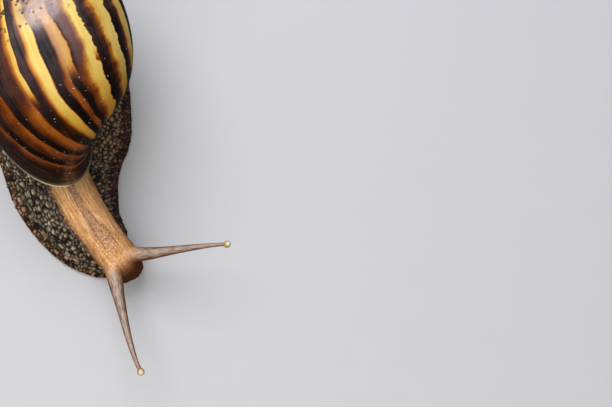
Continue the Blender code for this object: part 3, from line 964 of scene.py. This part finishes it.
def moist_grain_group():
    """Uneven shade and roughness, and a fine grain, from the object's own coordinates."""
    tree = bpy.data.node_groups.new("moist grain", "ShaderNodeTree")
    for name, default in (("Patch Size", 0.004), ("Grain Size", 0.0004), ("Low", 0.2),
                          ("High", 0.5)):
        socket = tree.interface.new_socket(name, in_out="INPUT", socket_type="NodeSocketFloat")
        socket.default_value = default
    for name in ("Shade", "Roughness", "Height"):
        tree.interface.new_socket(name, in_out="OUTPUT", socket_type="NodeSocketFloat")
    given = add(tree, "NodeGroupInput").outputs
    result = add(tree, "NodeGroupOutput").inputs
    where = add(tree, "ShaderNodeTexCoord").outputs["Object"]
    patches = noise_at(tree, where, calc(tree, "DIVIDE", 1.0, given["Patch Size"]), 3.0, 0.6)
    grain = noise_at(tree, where, calc(tree, "DIVIDE", 1.0, given["Grain Size"]), 2.0, 0.6)
    both = calc(tree, "MULTIPLY_ADD", grain, 0.35, times(tree, patches, 0.65))
    rough = add(tree, "ShaderNodeMapRange")
    feed_all(tree, rough.inputs, (both, 0.35, 0.65, given["Low"], given["High"]))
    feed(tree, result["Shade"], both)
    feed(tree, result["Roughness"], rough.outputs[0])
    feed(tree, result["Height"], grain)
    return tree


def use_group(tree, group, **values):
    node = add(tree, "ShaderNodeGroup", node_tree=group)
    for name, value in values.items():
        feed(tree, node.inputs[name.replace("_", " ").title()], value)
    return node.outputs


# The shell's material -----------------------------------------------------------

# Bands on the last part turn: turns before the lip, and tone from black to yellow.
YOUNG_BANDS = (
    (0.000, 0.26), (0.012, 0.20), (0.075, 0.19), (0.088, 0.28), (0.106, 0.48), (0.110, 0.06),
    (0.122, 0.07), (0.127, 0.28), (0.156, 0.48), (0.160, 0.05), (0.169, 0.08), (0.177, 0.20),
    (0.198, 0.28), (0.206, 0.56), (0.211, 0.92), (0.216, 0.96), (0.218, 0.02), (0.232, 0.18),
    (0.239, 0.62), (0.244, 0.94), (0.258, 1.00), (0.260, 0.02), (0.278, 0.08), (0.284, 0.46),
    (0.296, 0.76), (0.304, 0.70), (0.306, 0.14), (0.325, 0.32), (0.338, 0.93), (0.354, 1.00),
    (0.356, 0.02), (0.366, 0.08),
)
# The same below the whorl's widest part, where some bands fade or shift.
LOW_BANDS = (
    (0.000, 0.26), (0.012, 0.20), (0.070, 0.19), (0.082, 0.27), (0.100, 0.48), (0.104, 0.06),
    (0.116, 0.07), (0.121, 0.28), (0.153, 0.49), (0.157, 0.05), (0.168, 0.10), (0.174, 0.30),
    (0.190, 0.48), (0.202, 0.54), (0.207, 0.20), (0.222, 0.14), (0.231, 0.30), (0.236, 0.62),
    (0.241, 0.92), (0.255, 0.98), (0.258, 0.02), (0.272, 0.06), (0.277, 0.44), (0.288, 0.46),
    (0.291, 0.06), (0.300, 0.08), (0.304, 0.30), (0.315, 0.46), (0.324, 0.88), (0.347, 0.98),
    (0.350, 0.02), (0.366, 0.08),
)
YOUNG_END = 0.366
# Further back the bands are an even series, which starts with a dark one.
OLD_START = 0.356
OLD_BANDS_PER_TURN = 16.5
OLD_BANDS = ((0.0, 0.02), (0.18, 0.08), (0.34, 0.30), (0.48, 0.55), (0.58, 0.88), (0.955, 1.0),
             (0.975, 0.02))
CLEAR_BANDS = ((0.0, "0a0605"), (0.16, "221009"), (0.34, "5c280d"), (0.52, "a05a18"),
               (0.72, "cc9632"), (1.0, "e6c86a"))
AMBER_BANDS = ((0.0, "090502"), (0.16, "1f0d02"), (0.34, "502001"), (0.52, "964c04"),
               (0.72, "b07107"), (1.0, "cc9c28"))
# Dull bands above the widest part, the first pale from wear and the second a painted purple sheen:
# middle and reach in turns, amount and colour.
WORN_AND_SHEEN_BANDS = ((0.293, 0.013, 0.55, "c49873"), (0.322, 0.017, 0.50, "866561"))
# Pale patches under the suture: the age of one, and how fast they follow each other.
PATCH_AGE = 0.295
PATCH_RATE = 19.0
# Dark spots, the places that have them, and pale specks of dust and painted glints: cells or steps
# to a metre.
SPOT_CELLS = 680.0
SPOTTED_STEPS = 260.0
GLINT_FLECK_STEPS = 1700.0
# Ages of the line beside the lip and of the lip's cream rim.
LINE_AGE = 0.0215
RIM_AGE = (0.0125, 0.0095)


def band_place(tree, turn, across, age):
    """Age with the bands' slant and waves, and further back their jagged edges, in it."""
    coarse = streaks_at(tree, turn, 7.0, across, 2.6, 1.0)
    fine = streaks_at(tree, turn, 18.0, across, 8.0, 3.0, 0.6)
    jag = swing(tree, fine, stretch(tree, age, 0.26, 0.38, 0.003, 0.034))
    wander = swing(tree, coarse, stretch(tree, age, 0.0, 0.3, 0.006, 0.022))
    moved = calc(tree, "ADD", age, calc(tree, "ADD", jag, wander))
    return calc(tree, "SUBTRACT", moved, stretch(tree, across, 1.05, 2.1, 0.0, 0.04))


def band_tone(tree, age, across, band_age):
    """Tone from black to yellow, first band by band and then as an even series."""
    share = calc(tree, "DIVIDE", band_age, YOUNG_END)
    upper, lower = (ramp(tree, share, [(turns / YOUNG_END, tone) for turns, tone in bands])
                    for bands in (YOUNG_BANDS, LOW_BANDS))
    young = blend(tree, stretch(tree, across, 1.12, 1.30), upper, lower)
    uneven = swing(tree, streaks_at(tree, age, 3.1, 4.0, 1.0, 1.0),
                   stretch(tree, age, 0.42, 0.7, 0.0, 1.2))
    cycle = calc(tree, "MULTIPLY_ADD", calc(tree, "SUBTRACT", band_age, OLD_START),
                 OLD_BANDS_PER_TURN, uneven)
    old = ramp(tree, calc(tree, "FRACT", cycle), OLD_BANDS)
    return blend(tree, calc(tree, "GREATER_THAN", band_age, YOUNG_END), young, old)


def band_colours(tree, age, across, band_age, streak, blotch):
    """Bands from black to yellow, more amber near the lip and the base, pale from wear in one place,
    with a painted purple sheen on dark bands near the top.
    """
    tone = band_tone(tree, age, across, band_age)
    tone = calc(tree, "ADD", tone, swing(tree, streak, 0.28))
    tone = calc(tree, "ADD", tone, swing(tree, blotch, 0.32))
    amber = calc(tree, "MAXIMUM", stretch(tree, across, 1.15, 1.65),
                 stretch(tree, age, 0.235, 0.17))
    bands = blend(tree, amber, ramp(tree, tone, CLEAR_BANDS), ramp(tree, tone, AMBER_BANDS))
    # Painted sheen: a purple-brown veil, streaked along the growth lines, over the dark bands of the
    # upper whorl.
    sheen = calc(tree, "MULTIPLY_ADD", streak, 0.5, times(tree, blotch, 0.5))
    dark_top = times(tree, stretch(tree, tone, 0.5, 0.2), stretch(tree, across, 1.4, 0.9))
    dusky_sheen = times(tree, stretch(tree, sheen, 0.42, 0.58, 0.0, 0.55), dark_top)
    bands = blend(tree, dusky_sheen, bands, "4f3a38")
    # A pale band from wear, and a purple-brown band of painted sheen.
    for middle, reach, amount, shade in WORN_AND_SHEEN_BANDS:
        worn_and_sheen = times(tree, stretch(tree, across, 1.28, 0.95, 0.0, amount),
                     stretch(tree, gap(tree, band_age, middle), reach, reach * 0.5))
        bands = blend(tree, worn_and_sheen, bands, shade)
    return bands


def with_marks(tree, bands, age, across, blotch):
    """Pale mottled patches, dark spots, pale specks of dust and painted glints, and a bleached tip
    over the bands.
    """
    where = add(tree, "ShaderNodeTexCoord").outputs["Object"]
    patches = calc(tree, "COSINE", times(tree, calc(tree, "SUBTRACT", age, PATCH_AGE), PATCH_RATE))
    pale = times(tree, stretch(tree, across, 0.86, 0.58),
                 stretch(tree, patches, 0.2, 0.95, 0.0, 0.85))
    mottled = ramp(tree, blotch, ((0.38, "755a5c"), (0.50, "a07e68"), (0.64, "caa982")))
    bands = blend(tree, pale, bands, mottled)
    spotted = times(tree, stretch(tree, across, 0.84, 0.66, 0.0, 0.9),
                    stretch(tree, noise_at(tree, where, SPOTTED_STEPS, 1.0), 0.42, 0.48))
    spots = stretch(tree, cell_distance(tree, where, SPOT_CELLS), 0.36, 0.22)
    bands = blend(tree, times(tree, spots, spotted), bands, "2c1816")
    # Pale specks: partly dust, partly painted glints of light on the wet shell.
    glint_and_dust_flecks = times(tree, stretch(tree, noise_at(tree, where, GLINT_FLECK_STEPS, 1.0), 0.75, 0.775),
                   stretch(tree, across, 1.05, 1.25, 0.0, 0.8))
    bands = blend(tree, glint_and_dust_flecks, bands, "e3d9cc")
    return blend(tree, stretch(tree, age, 2.6, 5.2, 0.0, 0.75), bands, "c9a98c")


def with_lip(tree, bands, turn, across, age):
    """The dark newest part of the shell, with a thin line before its cream rim."""
    growth = streaks_at(tree, turn, 330.0, across, 0.7, 1.0)
    newest = ramp(tree, growth, ((0.40, "190d05"), (0.60, "301b08"), (0.72, "52391a")))
    bands = blend(tree, stretch(tree, age, 0.095, 0.045, 0.0, 0.8), bands, newest)
    line = stretch(tree, gap(tree, age, LINE_AGE), 0.0024, 0.0008, 0.0, 0.5)
    bands = blend(tree, line, bands, "b39c62")
    rim = times(tree, stretch(tree, age, *RIM_AGE), stretch(tree, across, 1.97, 1.88, 0.3, 1.0))
    return blend(tree, rim, bands, "e2d6ae")


def shell_material(grain):
    """Glossy shell with jagged flame bands along its growth lines."""
    material, tree, shader = new_material("flame banded shell")
    turn, across, inside = (value_of(tree, name) for name in ("turn", "across", "inside"))
    age = times(tree, turn, -1.0)
    streak = streaks_at(tree, turn, 230.0, across, 1.6, 3.0, 0.6)
    blotch = streaks_at(tree, turn, 24.0, across, 6.0, 3.0, 0.6)
    band_age = band_place(tree, turn, across, age)
    bands = band_colours(tree, age, across, band_age, streak, blotch)
    bands = with_marks(tree, bands, age, across, blotch)
    bands = with_lip(tree, bands, turn, across, age)
    mouth = blend(tree, stretch(tree, inside, 0.5, 0.9), "cdbd8c", "b9bcc6")
    surface = blend(tree, stretch(tree, inside, 0.1, 0.5), bands, mouth)
    given = use_group(tree, grain, patch_size=0.009, grain_size=0.0009, low=0.22, high=0.40)
    lines = streaks_at(tree, turn, 420.0, across, 2.2, 2.0, 0.6)
    height = calc(tree, "MULTIPLY_ADD", given["Height"], 0.25, lines)
    feed(tree, shader.inputs["Base Color"], surface)
    feed(tree, shader.inputs["Roughness"], given["Roughness"])
    feed(tree, shader.inputs["Normal"], bump(tree, height, 0.00012))
    shader.inputs["Specular IOR Level"].default_value = 0.3
    shader.inputs["Coat Weight"].default_value = 0.6
    shader.inputs["Coat Roughness"].default_value = 0.14
    return material


# The skin's material --------------------------------------------------------------

# Colours from the grooves to the tops of the grains. On the foot the near-black grooves are partly
# painted shade, and the palest tops partly painted highlights.
DARK_GRAINS = ((0.0, "090604"), (0.08, "392d21"), (0.25, "6a5643"), (0.65, "8c775c"),
               (1.0, "c1aa86"))
BROWN_GRAINS = ((0.0, "110b07"), (0.08, "543e2a"), (0.25, "866b4f"), (0.65, "a08558"),
                (1.0, "c2a577"))
LIT_CREAM_GRAINS = ((0.0, "0b0805"), (0.08, "3b3224"), (0.25, "665b46"), (0.65, "8f846a"),
                (0.90, "b9ae92"), (1.0, "e0d9c2"))
EDGE_GRAINS = ((0.0, "1a0f08"), (0.12, "51361f"), (0.5, "846040"), (1.0, "b8926a"))
RED_EDGE_GRAINS = ((0.0, "1c0e0a"), (0.4, "4c2c20"), (1.0, "6e4634"))
HEAD_GRAINS = ((0.0, "94592c"), (0.5, "c98e50"), (1.0, "e4b47a"))
COLLAR_SHADES = ((0.42, "57452e"), (0.52, "7a6342"), (0.62, "94805a"))
OCHRE_STREAKS = ((0.32, "a9672f"), (0.48, "dc9f5e"), (0.64, "fad099"))
STRIPE_SPECKLES = ((0.38, "4a2b17"), (0.50, "8d5f3e"), (0.62, "c8966a"))
FEELER_TOP_SHEEN = ((0.36, "755b48"), (0.64, "b5a294"))
FEELER_FLANK = ((0.35, "643b1e"), (0.65, "925f33"))
# The values stored on the skin that its material reads.
SKIN_VALUES = ("neck", "head", "snout", "feeler", "feeler_along", "feeler_top", "feeler_side",
               "fringe", "sole", "mantle", "grains", "head_grains", "neck_along", "neck_across",
               "neck_rise", "foot_across", "foot_along")
# The stripe down the neck: its middle, and its half width at the back and the front.
STRIPE_MIDDLE = 0.4
STRIPE_WIDTHS = (1.3, 2.7)


def foot_colour(tree, part, shade):
    """Dark grained foot, paler on its left with painted light and highlights, with a brown tail,
    edge and mantle.
    """
    grains, across = part["grains"], part["foot_across"]
    dark, brown, cream, edge, red_edge = (
        ramp(tree, grains, stops)
        for stops in (DARK_GRAINS, BROWN_GRAINS, LIT_CREAM_GRAINS, EDGE_GRAINS, RED_EDGE_GRAINS))
    dark = blend(tree, stretch(tree, part["foot_along"], 88.0, 76.0), dark, brown)
    # Painted light: on the left flank the grains turn cream and their tops near white, as if lit
    # from that side.
    sunlit = times(tree, stretch(tree, across, -4.0, -9.5),
                   stretch(tree, shade, 0.40, 0.58, 0.55, 1.0))
    foot = blend(tree, sunlit, dark, cream)
    edge = blend(tree, stretch(tree, across, -2.0, 3.0), edge, red_edge)
    foot = blend(tree, times(tree, part["fringe"], 0.9), foot, edge)
    foot = blend(tree, part["sole"], foot, "7d6f5c")
    return blend(tree, part["mantle"], foot, ramp(tree, shade, COLLAR_SHADES))


def neck_colour(tree, part, streaks):
    """Ochre neck and head, with a speckled stripe between two ragged dark lines, and painted shade
    on their lower sides and the snout.
    """
    along, across = part["neck_along"], part["neck_across"]
    # Painted shade: the lower sides of the neck and head turn a darker brown.
    shaded_low_side = stretch(tree, part["neck_rise"], 3.4, -1.5)
    ochre = blend(tree, times(tree, shaded_low_side, 0.75), ramp(tree, streaks, OCHRE_STREAKS), "a9652a")
    ragged = calc(tree, "ADD", swing(tree, streaks, 1.6), gap(tree, across, STRIPE_MIDDLE))
    width = stretch(tree, along, 22.0, 31.0, *STRIPE_WIDTHS)
    stripe = times(tree, stretch(tree, calc(tree, "DIVIDE", ragged, width), 1.0, 0.45),
                   stretch(tree, along, 35.5, 31.0, 0.0, 0.78))
    speckle = streaks_at(tree, along, 1.5, across, 3.6)
    neck = blend(tree, stripe, ochre, ramp(tree, speckle, STRIPE_SPECKLES))
    beside = gap(tree, ragged, times(tree, width, 0.55))
    line = times(tree, stretch(tree, beside, 0.32, 0.10), stretch(tree, along, 35.5, 32.0, 0.0, 0.7))
    neck = blend(tree, times(tree, line, stretch(tree, speckle, 0.62, 0.45)), neck, "3a1f10")
    head = ramp(tree, part["head_grains"], HEAD_GRAINS)
    neck = blend(tree, stretch(tree, part["head"], 0.0, 1.0, 0.28, 0.48), neck, head)
    neck = blend(tree, times(tree, part["head"], shaded_low_side), neck, "7c4318")
    # The snout's dark brown is partly its own colour and partly painted shadow under the head.
    return blend(tree, part["snout"], neck, "632d05")


def with_feelers(tree, part, neck):
    """Feelers with short pale strokes, with a painted pale-grey sheen on top and browner flanks."""
    strokes = streaks_at(tree, part["feeler_along"], 0.5, part["feeler_side"], 5.0, 3.0)
    # Painted sheen: the upward-facing side of each feeler is paler and greyer.
    feeler = blend(tree, stretch(tree, part["feeler_top"], 0.34, 0.98),
                   ramp(tree, strokes, FEELER_FLANK), ramp(tree, strokes, FEELER_TOP_SHEEN))
    reach = calc(tree, "ADD", swing(tree, strokes, 9.0), part["feeler_along"])
    return blend(tree, times(tree, part["feeler"], stretch(tree, reach, 1.5, 9.0)), neck, feeler)


def skin_material(grain):
    """Moist skin: dark and grained on the foot, ochre and streaked on the neck."""
    material, tree, shader = new_material("moist snail skin")
    part = {name: value_of(tree, name) for name in SKIN_VALUES}
    given = use_group(tree, grain, patch_size=0.004, grain_size=0.00035, low=0.28, high=0.50)
    shade = given["Shade"]
    streaks = streaks_at(tree, part["neck_along"], 0.22, part["neck_across"], 2.9, 4.0, 0.65)
    neck = with_feelers(tree, part, neck_colour(tree, part, streaks))
    surface = blend(tree, part["neck"], foot_colour(tree, part, shade), neck)
    surface = blend(tree, stretch(tree, shade, 0.3, 0.7, 0.25, 0.0), surface, "1a120c")
    height = calc(tree, "MULTIPLY_ADD", given["Height"], 0.5, streaks)
    feed(tree, shader.inputs["Base Color"], surface)
    feed(tree, shader.inputs["Roughness"], given["Roughness"])
    feed(tree, shader.inputs["Normal"], bump(tree, height, 0.00008))
    shader.inputs["Specular IOR Level"].default_value = 0.35
    shader.inputs["Coat Weight"].default_value = 0.2
    shader.inputs["Coat Roughness"].default_value = 0.22
    return material


# Eyes, floor, lights and camera --------------------------------------------------

# Amber rim to a pale painted highlight where the eye faces up and out.
EYE_SHADES = ((0.0, "6b4416"), (0.45, "a8702a"), (0.62, "b98a44"), (0.80, "a59468"),
              (0.93, "d2c8a2"), (1.0, "ddd6b8"))
FLOOR_SHADES = ((0.3, "b4b4b5"), (0.7, "bababa"))
FLOOR_REACH = 1.5

# The sky's colours, from the way that faces its brightest part to the other ways.
BRIGHT_SKY = (-0.18, 0.30, 0.94)
SKY_SHADES = ((0.0, "303134"), (0.55, "85898f"), (0.95, "f7faff"))
SKY_STRENGTH = 1.12
LIT_MIDDLE = (5, 0, 15)
# Lamps: name, place, size in metres, watts, colour, and whether the shell mirrors it.
LAMPS = (("sky window", (-60, 200, 420), 0.34, 1.6, (0.96, 0.94, 1.0), True),
         ("soft fill", (-60, -260, 340), 0.4, 0.9, (1.0, 0.97, 0.92), False))

CAMERA_TARGET = (58.0, 0.0, 0.0)
CAMERA_DISTANCE = 360.0
CAMERA_ELEVATION = 78.0
CAMERA_LENS = 84.7


def eye_material(grain):
    """Clear amber ball with a painted pale highlight in its heart."""
    material, tree, shader = new_material("amber eye")
    given = use_group(tree, grain, patch_size=0.001, grain_size=0.0002, low=0.08, high=0.18)
    feed(tree, shader.inputs["Base Color"], ramp(tree, value_of(tree, "facing"), EYE_SHADES))
    feed(tree, shader.inputs["Roughness"], given["Roughness"])
    shader.inputs["Coat Weight"].default_value = 0.8
    shader.inputs["Coat Roughness"].default_value = 0.05
    return material


def floor_material(grain):
    material, tree, shader = new_material("pale floor")
    given = use_group(tree, grain, patch_size=0.3, grain_size=0.01, low=0.6, high=0.8)
    feed(tree, shader.inputs["Base Color"], ramp(tree, given["Shade"], FLOOR_SHADES))
    feed(tree, shader.inputs["Roughness"], given["Roughness"])
    return material


def make_eye(name, stations):
    """Ball on a feeler's tip, with how far each point faces up and out stored on it to place the
    painted highlight.
    """
    centre, heading = eye_axis(stations)
    side, top = cross_axes(heading)
    cosines, sines = circle(EYE_SIDES)
    rings = []
    for level in np.cos(np.linspace(EYE_POLE, math.pi - EYE_POLE, EYE_LEVELS))[::-1]:
        spread = math.sqrt(1 - level**2)
        rings.append(centre + EYE_RADIUS * (heading * level
                                            + spread * (side * cosines + top * sines)))
    obj = mesh_object(name, *loft(rings))
    recalculate_outside(obj.data)
    highlight_way = unit(heading + np.array((0, 0, HIGHLIGHT_RISE)))
    set_values(obj.data, "facing", 0.5 + 0.5 * (unit(get_points(obj.data) - centre) @ highlight_way))
    obj.data.shade_smooth()
    return obj


def make_floor(material):
    corners = [(x, y, 0) for x, y in ((-1, -1), (1, -1), (1, 1), (-1, 1))]
    obj = mesh_object("floor", np.array(corners) * FLOOR_REACH, [[0, 1, 2, 3]])
    obj.data.materials.append(material)
    obj.visible_glossy = False


def area_light(name, spot, size, power, shade, mirrored):
    light = bpy.data.lights.new(name, "AREA")
    light.shape = "DISK"
    light.size = size
    light.energy = power
    light.color = shade
    obj = bpy.data.objects.new(name, light)
    obj.location = place(*spot)
    obj.rotation_euler = (place(*LIT_MIDDLE) - obj.location).to_track_quat("-Z", "Y").to_euler()
    obj.visible_glossy = mirrored
    bpy.context.scene.collection.objects.link(obj)


def light_scene():
    """Soft light from all of the sky, strongest high up behind, and two broad lamps."""
    world = bpy.data.worlds.new("soft sky")
    world.use_nodes = True
    tree = world.node_tree
    towards_sky = add(tree, "ShaderNodeVectorMath", operation="DOT_PRODUCT")
    feed(tree, towards_sky.inputs[0], add(tree, "ShaderNodeTexCoord").outputs["Generated"])
    towards_sky.inputs[1].default_value = BRIGHT_SKY
    background = tree.nodes["Background"]
    feed(tree, background.inputs["Color"], ramp(tree, towards_sky.outputs["Value"], SKY_SHADES))
    background.inputs["Strength"].default_value = SKY_STRENGTH
    bpy.context.scene.world = world
    bpy.context.scene.view_settings.view_transform = "Standard"
    for lamp in LAMPS:
        area_light(*lamp)


def make_camera():
    camera = bpy.data.cameras.new("camera")
    camera.lens = CAMERA_LENS
    camera.sensor_width = 36.0
    camera.clip_start = 0.01
    elevation = math.radians(CAMERA_ELEVATION)
    back = np.array((0, -math.cos(elevation), math.sin(elevation))) * CAMERA_DISTANCE
    obj = bpy.data.objects.new("camera", camera)
    obj.location = place(*(np.array(CAMERA_TARGET) + back))
    obj.rotation_euler = (math.pi / 2 - elevation, 0, 0)
    bpy.context.scene.collection.objects.link(obj)
    bpy.context.scene.camera = obj


def main():
    grain = moist_grain_group()
    shell = make_shell()
    to_row_frame(shell)
    shell.data.materials.append(shell_material(grain))
    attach(shell, BODY)
    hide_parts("shell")

    skin = make_skin()
    to_row_frame(skin)
    skin.data.materials.clear()
    skin.data.materials.append(skin_material(grain))
    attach(skin, BODY)
    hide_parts("foot_front", "foot_middle", "tail", "neck", "head", "mantle",
                "tentacle_upper_left", "tentacle_upper_right",
                "tentacle_lower_left", "tentacle_lower_right")

    glass = eye_material(grain)
    for name, stations in (("eye_left", UPPER_LEFT), ("eye_right", UPPER_RIGHT)):
        eye = make_eye("snail_" + name, stations)
        to_row_frame(eye)
        eye.data.materials.append(glass)
        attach(eye, BODY)
        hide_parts(name)

    make_floor(floor_material(grain))
    light_scene()
    make_camera()


main()
